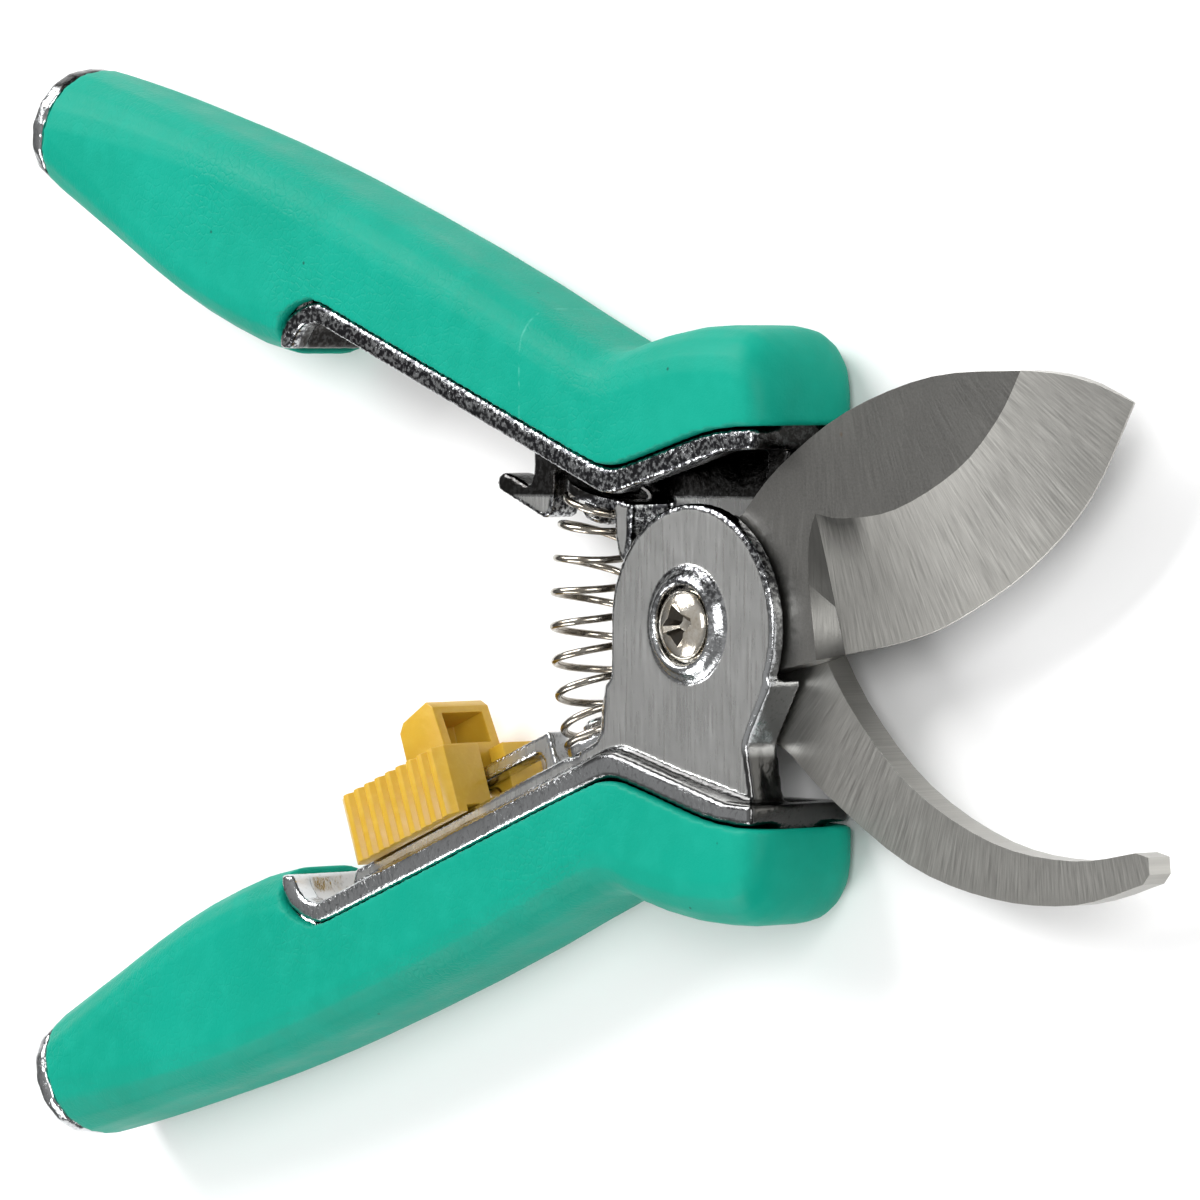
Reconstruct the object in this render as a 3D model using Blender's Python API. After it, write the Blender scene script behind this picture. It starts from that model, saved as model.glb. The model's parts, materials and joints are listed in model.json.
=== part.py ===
# Bypass pruning shears with two chromed castings, moulded grips and a sliding lock.
#
# All lengths are millimetres, measured from the pivot axis.  +X runs to the blade tips,
# +Y to the handle that carries the counter blade, +Z out of the screw head.
# The shears are drawn open.  The two castings are twins: the shapes below are drawn for
# the upper handle (y > 0, hub at the back), and a half turn about X gives the lower one.

import math

import bmesh
import bpy
from mathutils import Matrix, Vector

MM = 0.001

# ---- overall ----
HALF_THICK = 8.0                # grip half thickness, also the height of the pivot plane
GAP = 0.3                       # air left between pieces that touch
RIM_ANGLE = math.radians(20.8)  # each handle's rim against the X axis, shears open
CLOSE_ANGLE = 38.0              # degrees the upper handle swings to shut the blades

# ---- grips ----
GRIP_END_X = -117.8
GRIP_WALL = 1.7
GRIP_CORNER = 5.0               # radius of the section's corners
TAIL_CORNER = 7.0               # the same at the tail, where the handle is nearly round
TAIL_START_X = -85.0
TAIL_LEAN = 0.34                # slope of the tail's end, square to the handle
BUMP_END_X = 14.9
BUMP_CORNER = 6.0
BUMP_EDGE = 4.0                 # rounding between the bump's front and its sides
BUMP_TOP_Y = 33.2
NOTCH_X = -70.4                 # where the sleeve opens into a trough

# ---- castings ----
CORE_INSET = GRIP_WALL + GAP
CHANNEL_HALF = 4.6              # half width of the channel inside the handle
WALL = 2.2
RIM_HALF = 7.3                  # half width over the rims
RIM_OFFSET = 9.15               # rim's inner edge from the line through the pivot
CAP_LENGTH = 1.9                # chromed end beyond the grip
CAP_DOME = 1.3
CAP_ROUND = 4.0                 # how far the cap's rounding reaches in from its rim
CAP_STEP = 0.15                 # how far the cap stays inside the grip's outline
HUB_R = 13.7
HUB_FACE_Z = 5.2                # outer face of each hub plate
HUB_BACK_Z = 3.3                # inner face, against the blade
ARM_TOP_Z = 2.8                 # how far the hub's outer wall reaches past the shear plane
BLOCK_Y = 5.8                   # shoulder that the flat of the blade's tang bears on
STRIP_OFFSET = 7.0              # hub plate's inner edge along the handle

# ---- pivot ----
BLADE_TOP_Z = 3.0
SHEAR_Z = 0.15                  # half the gap between the two blades
SCREW_R = 2.4
SCREW_HEAD_R = 3.9
SLEEVE_R = 4.0
BORE_CLEAR = 0.15
BOSS_BASE_R = 6.15
BOSS_CREST_R = 4.9
BOSS_Z = 6.4
COUNTERBORE_R = 4.4
COUNTERBORE_Z = 4.5
NUT_R = 4.5                     # across corners, halved
ROUND_STEPS = 32

# ---- cutting blade ----
TANG_R = 12.4
TANG_FLAT_Y = 5.4
EDGE_Z = 0.4                    # thickness left at the sharpened edge, above the shear plane

# ---- return spring ----
WIRE_R = 0.45
COIL_R = 4.4
COIL_TURNS = 8.4
COIL_STEPS = 14
SPRING_MID_X = -22.3            # furthest left point of the bowed axis
SPRING_END = (-19.8, 14.0)      # axis at the upper seat, mirrored at the lower one
SEAT_R = 4.7
SEAT_THICK = 1.1
SPIGOT_R = 2.2
SPIGOT_LENGTH = 2.8

# ---- sliding lock, along the lower handle's rim ----
# "s" runs along the rim towards the pivot, "n" at right angles to it, into the jaw side.
RAIL_HALF = 1.5
RAIL_TOP_N = -2.0
RAIL_END_S = -31.1
SLOT_N = -5.05
SLOT_R = 1.3
SLOT_S = (-55.9, -34.3)
LOCK_TRAVEL = 11.5
CHEEK_S = (-62.8, -43.0)
CHEEK_N = (-6.6, 0.7)
CHEEK_Z = 7.9
RIB_COUNT = 9
RIB_DEPTH = 0.55
TOWER_S = (-53.3, -46.6)
TOWER_HALF = 4.2
TOWER_TOP_N = 7.3
WINDOW_N = (1.8, 5.6)
WINDOW_HALF = 3.0
PIN_R = 1.15
KEY_PLACE = (-8.5, 0.0)      # key pins, which lock each blade to its casting
POCKET_R = 7.3               # pocket in each blade for the friction washer
POCKET_DEPTH = 0.35
FRICTION_R = 7.0
FRICTION_HALF = 0.25
NUT_WASHER_R = 5.0
CATCH_Z = (-2.4, 1.9)        # the lock's catch, behind and in front
CATCH_ROOT_Z = (-3.9, 1.7)
LOCK_PIN_HALF = 5.9
THROUGH = 6.0                # reach of a cutter that passes right through a blade
PIN_S = (-55.5, -46.3)


# ------------------------------------------------------------------ small geometry

def clear_scene():
    for old in list(bpy.data.objects):
        bpy.data.objects.remove(old, do_unlink=True)


def twin(point):
    """A half turn about X: takes an upper-handle point to the lower handle."""
    return (point[0], -point[1], -point[2])


def rail_point(s, n, z):
    """Lower-handle rail coordinates to pivot coordinates."""
    cos_a = math.cos(RIM_ANGLE)
    sin_a = math.sin(RIM_ANGLE)
    return (s * cos_a - n * sin_a, s * sin_a + n * cos_a, z)


def rim_y(x, offset):
    """Height of a line parallel to the upper rim, offset from the pivot."""
    return (offset - x * math.sin(RIM_ANGLE)) / math.cos(RIM_ANGLE)


def arc(radius, start_deg, end_deg, steps, centre=(0.0, 0.0)):
    points = []
    for i in range(steps + 1):
        angle = math.radians(start_deg + (end_deg - start_deg) * i / steps)
        points.append((centre[0] + radius * math.cos(angle), centre[1] + radius * math.sin(angle)))
    return points


def smooth(points, steps=4):
    """Catmull-Rom curve through the points."""
    out = []
    last = len(points) - 1
    for i in range(last):
        a = Vector(points[max(i - 1, 0)])
        b = Vector(points[i])
        c = Vector(points[i + 1])
        d = Vector(points[min(i + 2, last)])
        for k in range(steps):
            t = k / steps
            step = b + (c - a) * 0.5 * t
            step += (a * 2 - b * 5 + c * 4 - d) * 0.5 * t ** 2
            step += (b * 3 - a - c * 3 + d) * 0.5 * t ** 3
            out.append(tuple(step))
    out.append(tuple(points[last]))
    return out


def height_along(points):
    """Turn a left-to-right curve into a function of x."""
    samples = smooth(points, 6)

    def height(x):
        previous = samples[0]
        for sample in samples[1:]:
            if x <= sample[0] or sample is samples[-1]:
                share = (x - previous[0]) / (sample[0] - previous[0])
                return previous[1] + (sample[1] - previous[1]) * share
            previous = sample
        return previous[1]
    return height


# ------------------------------------------------------------------ object builders

def face_outwards(mesh):
    """Turn a closed mesh right side out."""
    work = bmesh.new()
    work.from_mesh(mesh)
    if work.calc_volume(signed=True) < 0:
        bmesh.ops.reverse_faces(work, faces=work.faces)
    work.to_mesh(mesh)
    work.free()


def make_object(name, vertices, faces, flip=False):
    if flip:
        vertices = [twin(v) for v in vertices]
    mesh = bpy.data.meshes.new(name)
    mesh.from_pydata([[c * MM for c in v] for v in vertices], [], faces)
    face_outwards(mesh)
    item = bpy.data.objects.new(name, mesh)
    bpy.context.scene.collection.objects.link(item)
    return item


def prism(name, outline, z_low, z_high, flip=False):
    """Straight extrusion of an outline along Z."""
    rings = [[(p[0], p[1], z) for p in outline] for z in (z_low, z_high)]
    return loft(name, rings, flip)


def loft(name, rings, flip=False):
    """Skin a stack of equal rings and close both ends."""
    count = len(rings[0])
    vertices = [p for ring in rings for p in ring]
    faces = [tuple(reversed(range(count)))]
    for r in range(len(rings) - 1):
        base = r * count
        for i in range(count):
            j = (i + 1) % count
            faces.append((base + i, base + j, base + count + j, base + count + i))
    top = (len(rings) - 1) * count
    faces.append(tuple(range(top, top + count)))
    return make_object(name, vertices, faces, flip)


def turned(name, profile, centre=(0.0, 0.0), steps=ROUND_STEPS, flip=False, phase=0.0):
    """Solid of revolution about a Z-parallel axis; profile is (radius, z), bottom to top."""
    rings = []
    for radius, z in profile:
        ring = []
        for i in range(steps):
            angle = phase + 2 * math.pi * i / steps
            ring.append((centre[0] + radius * math.cos(angle), centre[1] + radius * math.sin(angle), z))
        rings.append(ring)
    return loft(name, rings, flip)


def tube(name, outer_r, inner_r, z_low, z_high, steps=ROUND_STEPS):
    """Ring with square edges about the pivot axis."""
    corners = [(outer_r, z_low), (outer_r, z_high), (inner_r, z_high), (inner_r, z_low)]
    vertices = []
    faces = []
    for i in range(steps):
        angle = 2 * math.pi * i / steps
        for radius, z in corners:
            vertices.append((radius * math.cos(angle), radius * math.sin(angle), z))
        j = (i + 1) % steps
        for k in range(4):
            m = (k + 1) % 4
            faces.append((i * 4 + k, j * 4 + k, j * 4 + m, i * 4 + m))
    return make_object(name, vertices, faces)


def combine(target, tool, operation):
    step = target.modifiers.new(tool.name, "BOOLEAN")
    step.object = tool
    step.operation = operation
    step.solver = "EXACT"
    tool.hide_render = True
    tool.display_type = "WIRE"
    return target


def cut(target, tool):
    return combine(target, tool, "DIFFERENCE")


def join(target, tool):
    return combine(target, tool, "UNION")


def paint(item, colour, metallic, roughness):
    """Each sub-part carries its own material."""
    material = bpy.data.materials.new(item.name + "_mat")
    material.use_nodes = True
    shader = material.node_tree.nodes["Principled BSDF"]
    shader.inputs["Base Color"].default_value = (*colour, 1.0)
    shader.inputs["Metallic"].default_value = metallic
    shader.inputs["Roughness"].default_value = roughness
    item.data.materials.append(material)
    return item


def paint_chrome(item):
    return paint(item, (0.62, 0.63, 0.65), 1.0, 0.16)


def paint_nickel(item):
    return paint(item, (0.66, 0.61, 0.52), 1.0, 0.25)


def paint_blade_steel(item):
    return paint(item, (0.42, 0.41, 0.39), 1.0, 0.42)


def paint_grip_vinyl(item):
    return paint(item, (0.004, 0.46, 0.30), 0.0, 0.45)


def paint_lock_plastic(item):
    return paint(item, (0.80, 0.46, 0.03), 0.0, 0.35)


def shade_round(item, limit_deg=40.0):
    """Smooth the round faces and keep real corners sharp."""
    item.data.shade_smooth()
    mesh = item.data
    limit = math.cos(math.radians(limit_deg))
    normals = {}
    for face in mesh.polygons:
        for key in face.edge_keys:
            normals.setdefault(key, []).append(face.normal.copy())
    for edge in mesh.edges:
        pair = normals.get(edge.key, [])
        edge.use_edge_sharp = len(pair) == 2 and pair[0].dot(pair[1]) < limit
    return item


# ------------------------------------------------------------------ handle section

grip_outer_y = height_along([(-126.0, 66.5), (-99.0, 60.9), (-72.0, 53.0), (-41.0, 41.7),
                             (-20.0, 32.9), (-12.5, 30.5), (-6.0, 32.0), (2.0, BUMP_TOP_Y),
                             (9.0, BUMP_TOP_Y), (16.0, BUMP_TOP_Y)])
grip_inner_y = height_along([(-126.0, 54.2), (-108.0, 45.3), (-90.0, 36.5), (-73.5, 30.6),
                             (-66.0, 30.2), (-60.0, 28.2), (-22.0, 14.2), (-11.0, 10.5),
                             (4.5, 14.2), (16.0, 16.0)])
core_inner_y = height_along([(-126.0, 56.2), (-108.0, 47.3), (-90.0, 38.5), (-75.0, 33.1),
                             (-69.0, 34.2), (-64.0, 35.2), (-22.0, 19.1), (-11.0, 15.6),
                             (4.5, 19.2), (16.0, 20.8)])


def bump_round(x, inset):
    """Drop of the outer edge and of the half thickness where the front end rounds off."""
    end = BUMP_END_X - inset
    into_corner = max(0.0, (x - (end - BUMP_CORNER)) / BUMP_CORNER)
    into_edge = max(0.0, (x - (end - BUMP_EDGE)) / BUMP_EDGE)
    drop = BUMP_CORNER * (1 - math.sqrt(max(0.0, 1 - into_corner ** 2)))
    thin = BUMP_EDGE * (1 - math.sqrt(max(0.0, 1 - into_edge ** 2)))
    return drop, thin


def section(x, inset, inner_y, corner_steps=4):
    """Rounded rectangle across the handle at one x."""
    drop, thin = bump_round(x, inset)
    top = grip_outer_y(x) - inset - drop
    bottom = inner_y(x)
    half = HALF_THICK - inset - thin
    tail = min(max((TAIL_START_X - x) / (TAIL_START_X - GRIP_END_X), 0.0), 1.0)
    radius = max(GRIP_CORNER + (TAIL_CORNER - GRIP_CORNER) * tail - inset, 1.0)
    radius = min(radius, half - 0.2, (top - bottom) / 2 - 0.2)
    ring = []
    for cy, cz, start in ((top - radius, half - radius, 0), (top - radius, radius - half, 270),
                          (bottom + radius, radius - half, 180), (bottom + radius, half - radius, 90)):
        for i in range(corner_steps + 1):
            angle = math.radians(start + 90 - 90 * i / corner_steps)
            y = cy + radius * math.cos(angle)
            shift = TAIL_LEAN * tail ** 2 * (y - grip_inner_y(x))
            ring.append((x + shift, y, cz + radius * math.sin(angle)))
    return ring


def stations(start_x, inset):
    """Cross-sections along the handle, closer together round the front bump."""
    end = BUMP_END_X - inset
    marks = [start_x]
    for i in range(1, 9):
        marks.append(start_x + (NOTCH_X - start_x) * i / 9)
    for x in (NOTCH_X, -66.0, -55.0, -44.0, -33.0, -25.0, -19.0, -15.0, -12.5, -10.5, -8.0, -4.0, 1.0, 5.5):
        marks.append(x)
    for share in (0.0, 0.3, 0.5, 0.65, 0.78, 0.88, 0.95, 1.0):
        marks.append(end - BUMP_CORNER * (1 - share) * 0.98 - 0.02)
    return marks


def opening_outline(offset):
    """Inner boundary of the grip, moved towards the jaw side by offset."""
    left = NOTCH_X + offset
    points = [(left, 22.0), (left, 32.4)]
    points += smooth([(left, 32.6), (left + 1.3, 34.6 - offset / 2), (left + 4.0, 36.1 - offset),
                      (left + 6.8, 36.6 - offset)], 2)[1:]
    elbow = [(-61.0, 35.9 - offset), (-24.0, 22.0 - offset), (-15.0, 18.7 - offset), (-11.0, 17.7 - offset),
             (-6.5, 18.5 - offset), (4.5, 21.4 - offset), (10.5, 22.1 - offset)]
    points += elbow[:2] + smooth(elbow[1:], 3)[1:]
    return points


# ------------------------------------------------------------------ grips

def handle_grip(name, flip):
    """Moulded sleeve: closed over the tail of the handle, a trough from the notch forward."""
    shell = loft(name, [section(x, 0.0, grip_inner_y) for x in stations(GRIP_END_X, 0.0)], flip)

    def pocket_inner(x):
        return grip_inner_y(x) + GRIP_WALL
    pocket_rings = [section(x, GRIP_WALL, pocket_inner) for x in stations(GRIP_END_X - 4.0, GRIP_WALL)]
    cut(shell, loft(name + "_pocket", pocket_rings, flip))
    outline = opening_outline(0.0) + [(24.0, 22.4), (24.0, -4.0), (NOTCH_X, -4.0)]
    cut(shell, prism(name + "_opening", outline, -20.0, 20.0, flip))
    return paint_grip_vinyl(shade_round(shell))


# ------------------------------------------------------------------ castings

def handle_core(name, flip):
    """Body of the casting inside the grip, with the domed end that caps the sleeve."""
    rings = []
    for share in (1.0, 0.7, 0.4, 0.15, 0.0):
        inset = CAP_STEP + CAP_ROUND * (1 - math.sqrt(1 - share ** 2))

        def cap_inner(at, lift=inset):
            return grip_inner_y(at) + lift
        rings.append(section(GRIP_END_X - CAP_LENGTH - CAP_DOME * share, inset, cap_inner))
    rings.append(section(GRIP_END_X - GAP, CAP_STEP, lambda at: grip_inner_y(at) + CAP_STEP))
    for x in stations(GRIP_END_X - GAP, CORE_INSET):
        rings.append(section(x, CORE_INSET, core_inner_y))
    return loft(name, rings, flip)


def rim_band(name, flip):
    """Raised flange that frames the open side of the grip."""
    outer = opening_outline(GAP)
    outer[0] = (outer[0][0], 30.9)
    outer.append((BUMP_END_X - CORE_INSET, 22.1 - GAP))
    inner = [(BUMP_END_X - CORE_INSET, 19.6), (8.0, 19.3), (-8.5, 15.0), (-10.9, 14.5)]
    inner += [(-13.0, rim_y(-13.0, RIM_OFFSET)), (-63.6, rim_y(-63.6, RIM_OFFSET))]
    inner += [(-66.0, 33.5), (-67.4, 32.3), (-68.2, 30.9)]
    return prism(name, outer + inner, -RIM_HALF, RIM_HALF, flip)


def handle_channel(name, flip):
    """Hollow of the channel, ending in a ramp below the notch."""
    floor = [(x, grip_outer_y(x) - CORE_INSET - WALL) for x in (-57.0, -40.0, -20.0, -11.5, -4.0, 5.0)]
    outline = [(-69.4, 28.0), (-68.0, 33.0), (-63.5, 38.4)] + floor
    outline += [(BUMP_END_X - CORE_INSET - WALL, 26.0), (BUMP_END_X - CORE_INSET - WALL, 2.0), (-40.0, 2.0)]
    return prism(name, outline, -CHANNEL_HALF, CHANNEL_HALF, flip)


def hub_plate_outline():
    points = arc(HUB_R, 20, -172, 30, (0.5, 0.2))
    points += [(-13.2, 6.2), (-14.0, 6.9), (-14.4, rim_y(-14.4, STRIP_OFFSET) - 0.6)]
    points += [(-16.0, rim_y(-16.0, STRIP_OFFSET)), (-59.0, rim_y(-59.0, STRIP_OFFSET))]
    points += [(-60.0, rim_y(-60.0, RIM_OFFSET + 1.6)), (-14.0, rim_y(-14.0, RIM_OFFSET + 1.6))]
    points += [(-8.0, 17.4), (11.1, 20.9), (10.8, 19.1), (9.6, 13.1)]
    return points


def shoulder_outline():
    """Thick part of the hub that backs the blade's flat and the right-hand wall."""
    return [(13.3, BLOCK_Y), (-13.0, BLOCK_Y), (-13.2, 10.5), (5.5, 10.5), (6.6, 13.0),
            (7.2, 20.0), (11.2, 21.2), (10.6, 19.1), (9.45, 13.0), (13.3, 6.6)]


def arm_outline():
    """Wall of the hub beyond the sweep of the blade's tang."""
    return [(-13.3, 6.4), (-14.6, 7.2), (-15.3, 9.6), (-15.6, 14.0), (-12.2, 13.4), (-12.6, 8.6)]


def rim_bevel(name, flip):
    """Sloping face that lifts the hub plate up to the rim."""
    low = [(-14.6, 14.2), (10.2, 18.6), (10.6, 21.0), (-11.0, 17.0), (-20.0, 19.4), (-19.0, 17.4)]
    high = [(-11.6, 15.2), (10.4, 20.0), (10.6, 21.0), (-11.0, 17.0), (-20.0, 19.4), (-19.4, 18.2)]
    rings = [[(p[0], p[1], -RIM_HALF + 0.4) for p in high], [(p[0], p[1], -HUB_BACK_Z - 0.6) for p in low]]
    return loft(name, rings, flip)


def seat_axis():
    """Direction of the upper spring seat, pointing down the spring."""
    sag = SPRING_END[0] - SPRING_MID_X
    half = SPRING_END[1]
    radius = (half ** 2 + sag ** 2) / (2 * sag)
    tilt = math.asin(half / radius)
    return radius, tilt


def seat_frame():
    """Matrix whose Z leaves the upper seat along the spring axis."""
    tilt = seat_axis()[1]
    direction = Vector((-math.sin(tilt), -math.cos(tilt), 0.0))
    turn = Vector((0, 0, 1)).rotation_difference(direction).to_matrix().to_4x4()
    return Matrix.Translation((SPRING_END[0], SPRING_END[1], 0.0)) @ turn


def seat_solid(name, profile, flip, steps=24):
    """Turned solid standing on the upper seat's axis."""
    frame = seat_frame()
    rings = []
    for radius, z in profile:
        ring = []
        for i in range(steps):
            angle = 2 * math.pi * i / steps
            point = frame @ Vector((radius * math.cos(angle), radius * math.sin(angle), z))
            ring.append(tuple(point))
        rings.append(ring)
    return loft(name, rings, flip)


def seat_web(name, flip):
    """Rib in the middle of the channel that carries the spring seat."""
    outline = [(-27.5, 16.6), (-26.4, 17.4), (-15.2, 14.0), (-15.2, 28.0), (-30.0, 33.0), (-30.0, 20.0)]
    return prism(name, outline, -RAIL_HALF, RAIL_HALF, flip)


def casting(name, flip):
    body = handle_core(name, flip)
    join(body, rim_band(name + "_rim", flip))
    cut(body, handle_channel(name + "_channel", flip))
    join(body, prism(name + "_plate", hub_plate_outline(), -HUB_FACE_Z, -HUB_BACK_Z, flip))
    join(body, prism(name + "_shoulder", shoulder_outline(), -HUB_FACE_Z + 0.2, -GAP, flip))
    join(body, prism(name + "_arm", arm_outline(), -HUB_FACE_Z + 0.3, ARM_TOP_Z, flip))
    join(body, rim_bevel(name + "_bevel", flip))
    join(body, seat_web(name + "_web", flip))
    return body


def spring_pocket(name, flip):
    return seat_solid(name, [(SEAT_R + GAP, -SEAT_THICK - 2 * GAP), (SEAT_R + GAP, 9.0)], flip)


def key_hole(name, flip):
    """Blind hole for the pin that keys the blade to its casting."""
    return turned(name, [(PIN_R + GAP / 2, -4.6), (PIN_R + GAP / 2, 0.0)], KEY_PLACE, 16, flip)


def lower_casting():
    body = casting("lower_handle_casting", True)
    boss = [(BOSS_BASE_R, HUB_BACK_Z + 0.5), (BOSS_BASE_R, HUB_FACE_Z + 0.15), (5.9, 5.75),
            (5.45, 6.2), (BOSS_CREST_R, BOSS_Z), (4.6, 6.3)]
    join(body, turned("lower_boss", boss))
    rail = [(s, n) for s, n in ((RAIL_END_S, RAIL_TOP_N), (RAIL_END_S, -14.0), (-64.0, -15.5),
                                (-64.0, -8.0), (-62.0, RAIL_TOP_N))]
    join(body, prism("lower_rail", [rail_point(s, n, 0)[:2] for s, n in rail], -RAIL_HALF, RAIL_HALF))
    cut(body, prism("lower_slot", slot_outline(), -4.0, 4.0))
    cut(body, prism("lower_relief", [(2.0, -19.4), (13.5, -19.4), (13.5, -11.0), (2.0, -11.0)], -9.0, -GAP))
    cut(body, spring_pocket("lower_spring_pocket", True))
    cut(body, key_hole("lower_key_hole", True))
    bore = [(SCREW_R + BORE_CLEAR, -2.0), (SCREW_R + BORE_CLEAR, COUNTERBORE_Z),
            (COUNTERBORE_R, COUNTERBORE_Z), (COUNTERBORE_R, 9.0)]
    cut(body, turned("lower_counterbore", bore))
    return paint_chrome(shade_round(body))


def slot_outline():
    """Round-ended slot that the lock pins run in."""
    tilt = math.degrees(RIM_ANGLE)
    front = rail_point(SLOT_S[1], SLOT_N, 0)
    back = rail_point(SLOT_S[0], SLOT_N, 0)
    return arc(SLOT_R, tilt - 90, tilt + 90, 8, front) + arc(SLOT_R, tilt + 90, tilt + 270, 8, back)


def catch_outline():
    """Finger that the lock's window closes over, with its stem and heel."""
    return [(-26.7, 24.0), (-30.9, 24.0), (-30.3, 17.7), (-30.6, 15.5), (-31.4, 15.1), (-34.3, 16.3),
            (-35.8, 16.6), (-36.5, 16.2), (-36.8, 15.4), (-36.5, 14.6), (-28.8, 11.5), (-27.8, 11.6),
            (-27.1, 12.6), (-26.7, 15.7)]


def upper_casting():
    body = casting("upper_handle_casting", False)
    join(body, prism("upper_catch", catch_outline(), *CATCH_Z))
    join(body, prism("upper_catch_root", [(-25.8, 22.0), (-30.4, 22.0), (-31.4, 34.2), (-25.8, 32.0)],
                     *CATCH_ROOT_Z))
    cut(body, spring_pocket("upper_spring_pocket", False))
    cut(body, key_hole("upper_key_hole", False))
    cut(body, turned("upper_bore", [(SCREW_R + BORE_CLEAR, -9.0), (SCREW_R + BORE_CLEAR, 2.0)]))
    return paint_chrome(shade_round(body))


# ------------------------------------------------------------------ blades

def blade_edge():
    return smooth([(20.8, -2.9), (30.5, -1.2), (38.4, 1.2), (50.0, 7.0), (59.3, 14.7), (65.8, 24.8)], 4)


def grind_line():
    return smooth([(18.8, 12.6), (23.2, 12.1), (31.7, 13.2), (41.5, 17.6), (47.7, 23.0), (51.3, 28.2)], 4)


def blade_spine_root():
    return smooth([(6.7, 12.3), (12.9, 17.7), (23.7, 23.7), (37.5, 27.6), (51.3, 28.2)], 4)


def cutting_blade():
    """Flat plate with a wide bevel ground from a curved line down to the edge."""
    edge = blade_edge()
    grind = grind_line()
    rows = len(edge)
    columns = 6
    spine_end = smooth([(51.3, 28.2), (55.7, 27.9), (60.8, 26.8), (65.8, 24.8)], 2)
    vertices = []
    grid = []
    for i in range(rows):
        along = i / (rows - 1)
        row = []
        for k in range(columns + 1):
            share = k / columns
            bow = Vector(spine_end[k]) - Vector(grind[-1]).lerp(Vector(edge[-1]), share)
            flat = Vector(grind[i]).lerp(Vector(edge[i]), share) + bow * along ** 6
            height = BLADE_TOP_Z + (EDGE_Z - BLADE_TOP_Z) * share ** 0.9
            row.append(len(vertices))
            vertices.append((flat.x, flat.y, height))
        grid.append(row)
    faces = []
    for i in range(rows - 1):
        for k in range(columns):
            faces.append((grid[i][k], grid[i][k + 1], grid[i + 1][k + 1], grid[i + 1][k]))
    wall = [grid[0][0]]
    border = smooth([(18.8, 12.6), (17.7, 9.8), (17.7, 4.8), (18.9, -3.5)], 2)
    for x, y in border[1:]:
        wall.append(len(vertices))
        vertices.append((x, y, BLADE_TOP_Z))
    faces.append((grid[0][0], wall[1], grid[0][1]))
    for k in range(1, columns):
        faces.append((grid[0][k], wall[k], wall[k + 1], grid[0][k + 1]))
    tang = [(9.8, -TANG_FLAT_Y)]
    tang += arc(TANG_R, 205.8, 66, 12)
    spine = blade_spine_root()
    root = []
    for x, y in tang + spine[:-1]:
        root.append(len(vertices))
        vertices.append((x, y, BLADE_TOP_Z))
    top_flat = wall[1:] + root + [row[0] for row in reversed(grid)]
    faces.append(tuple(reversed(top_flat)))
    rim = wall[-1:] + root + [grid[-1][k] for k in range(columns + 1)]
    rim += [grid[i][columns] for i in range(rows - 2, -1, -1)]
    low = []
    for index in rim:
        x, y, _ = vertices[index]
        low.append(len(vertices))
        vertices.append((x, y, SHEAR_Z))
    for i in range(len(rim)):
        j = (i + 1) % len(rim)
        faces.append((rim[i], low[i], low[j], rim[j])[::-1])
    faces.append(tuple(low))
    blade = make_object("cutting_blade", vertices, faces)
    cut(blade, turned("blade_bore", [(SLEEVE_R + BORE_CLEAR, -THROUGH), (SLEEVE_R + BORE_CLEAR, THROUGH)]))
    cut(blade, turned("blade_key_bore", [(PIN_R + GAP / 2, -1.0), (PIN_R + GAP / 2, THROUGH)], KEY_PLACE, 16))
    cut(blade, turned("blade_recess", [(POCKET_R, -1.0), (POCKET_R, SHEAR_Z + POCKET_DEPTH)]))
    return paint_blade_steel(blade)


def counter_blade():
    """Curved anvil hook behind the cutting blade."""
    outer = smooth([(3.0, -12.4), (9.7, -13.4), (16.9, -18.3), (30.3, -25.5), (43.4, -28.6),
                    (56.2, -28.7), (66.6, -26.0)], 4)
    inner = smooth([(65.5, -22.7), (55.8, -24.0), (43.6, -22.6), (30.6, -17.0), (20.5, -8.2),
                    (13.5, 2.0), (11.1, TANG_FLAT_Y)], 4)
    outline = outer + [(67.6, -24.9), (67.4, -23.1)] + inner
    outline += arc(TANG_R, 154.2, 270, 11)
    hook = prism("counter_blade", outline, -BLADE_TOP_Z - 0.3, -SHEAR_Z)
    cut(hook, turned("hook_bore", [(SLEEVE_R + BORE_CLEAR, -THROUGH), (SLEEVE_R + BORE_CLEAR, THROUGH)]))
    cut(hook, turned("hook_key_bore", [(PIN_R + GAP / 2, -THROUGH), (PIN_R + GAP / 2, 1.0)], KEY_PLACE, 16))
    cut(hook, turned("hook_recess", [(POCKET_R, -SHEAR_Z - POCKET_DEPTH), (POCKET_R, 1.0)]))
    return paint_blade_steel(hook)


# ------------------------------------------------------------------ pivot hardware

def pivot_screw():
    """Pan head screw with a crossed recess."""
    head_z = COUNTERBORE_Z + 0.5 + 2 * 0.15
    profile = [(SCREW_R - 0.3, -7.7), (SCREW_R, -7.4), (SCREW_R, head_z), (SCREW_HEAD_R, head_z),
               (SCREW_HEAD_R, head_z + 0.5), (3.55, head_z + 1.05), (2.7, head_z + 1.5), (1.4, head_z + 1.75)]
    screw = turned("pivot_screw", profile)
    for index, angle in enumerate((0.0, 90.0)):
        slot = [(-2.1, -0.38), (2.1, -0.38), (2.1, 0.38), (-2.1, 0.38)]
        turn = math.radians(angle + 12.0)
        shape = [(x * math.cos(turn) - y * math.sin(turn), x * math.sin(turn) + y * math.cos(turn))
                 for x, y in slot]
        cut(screw, prism("screw_recess_%d" % index, shape, head_z + 0.3 + 0.05 * index, head_z + 4.0))
    return paint_nickel(shade_round(screw))


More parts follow.
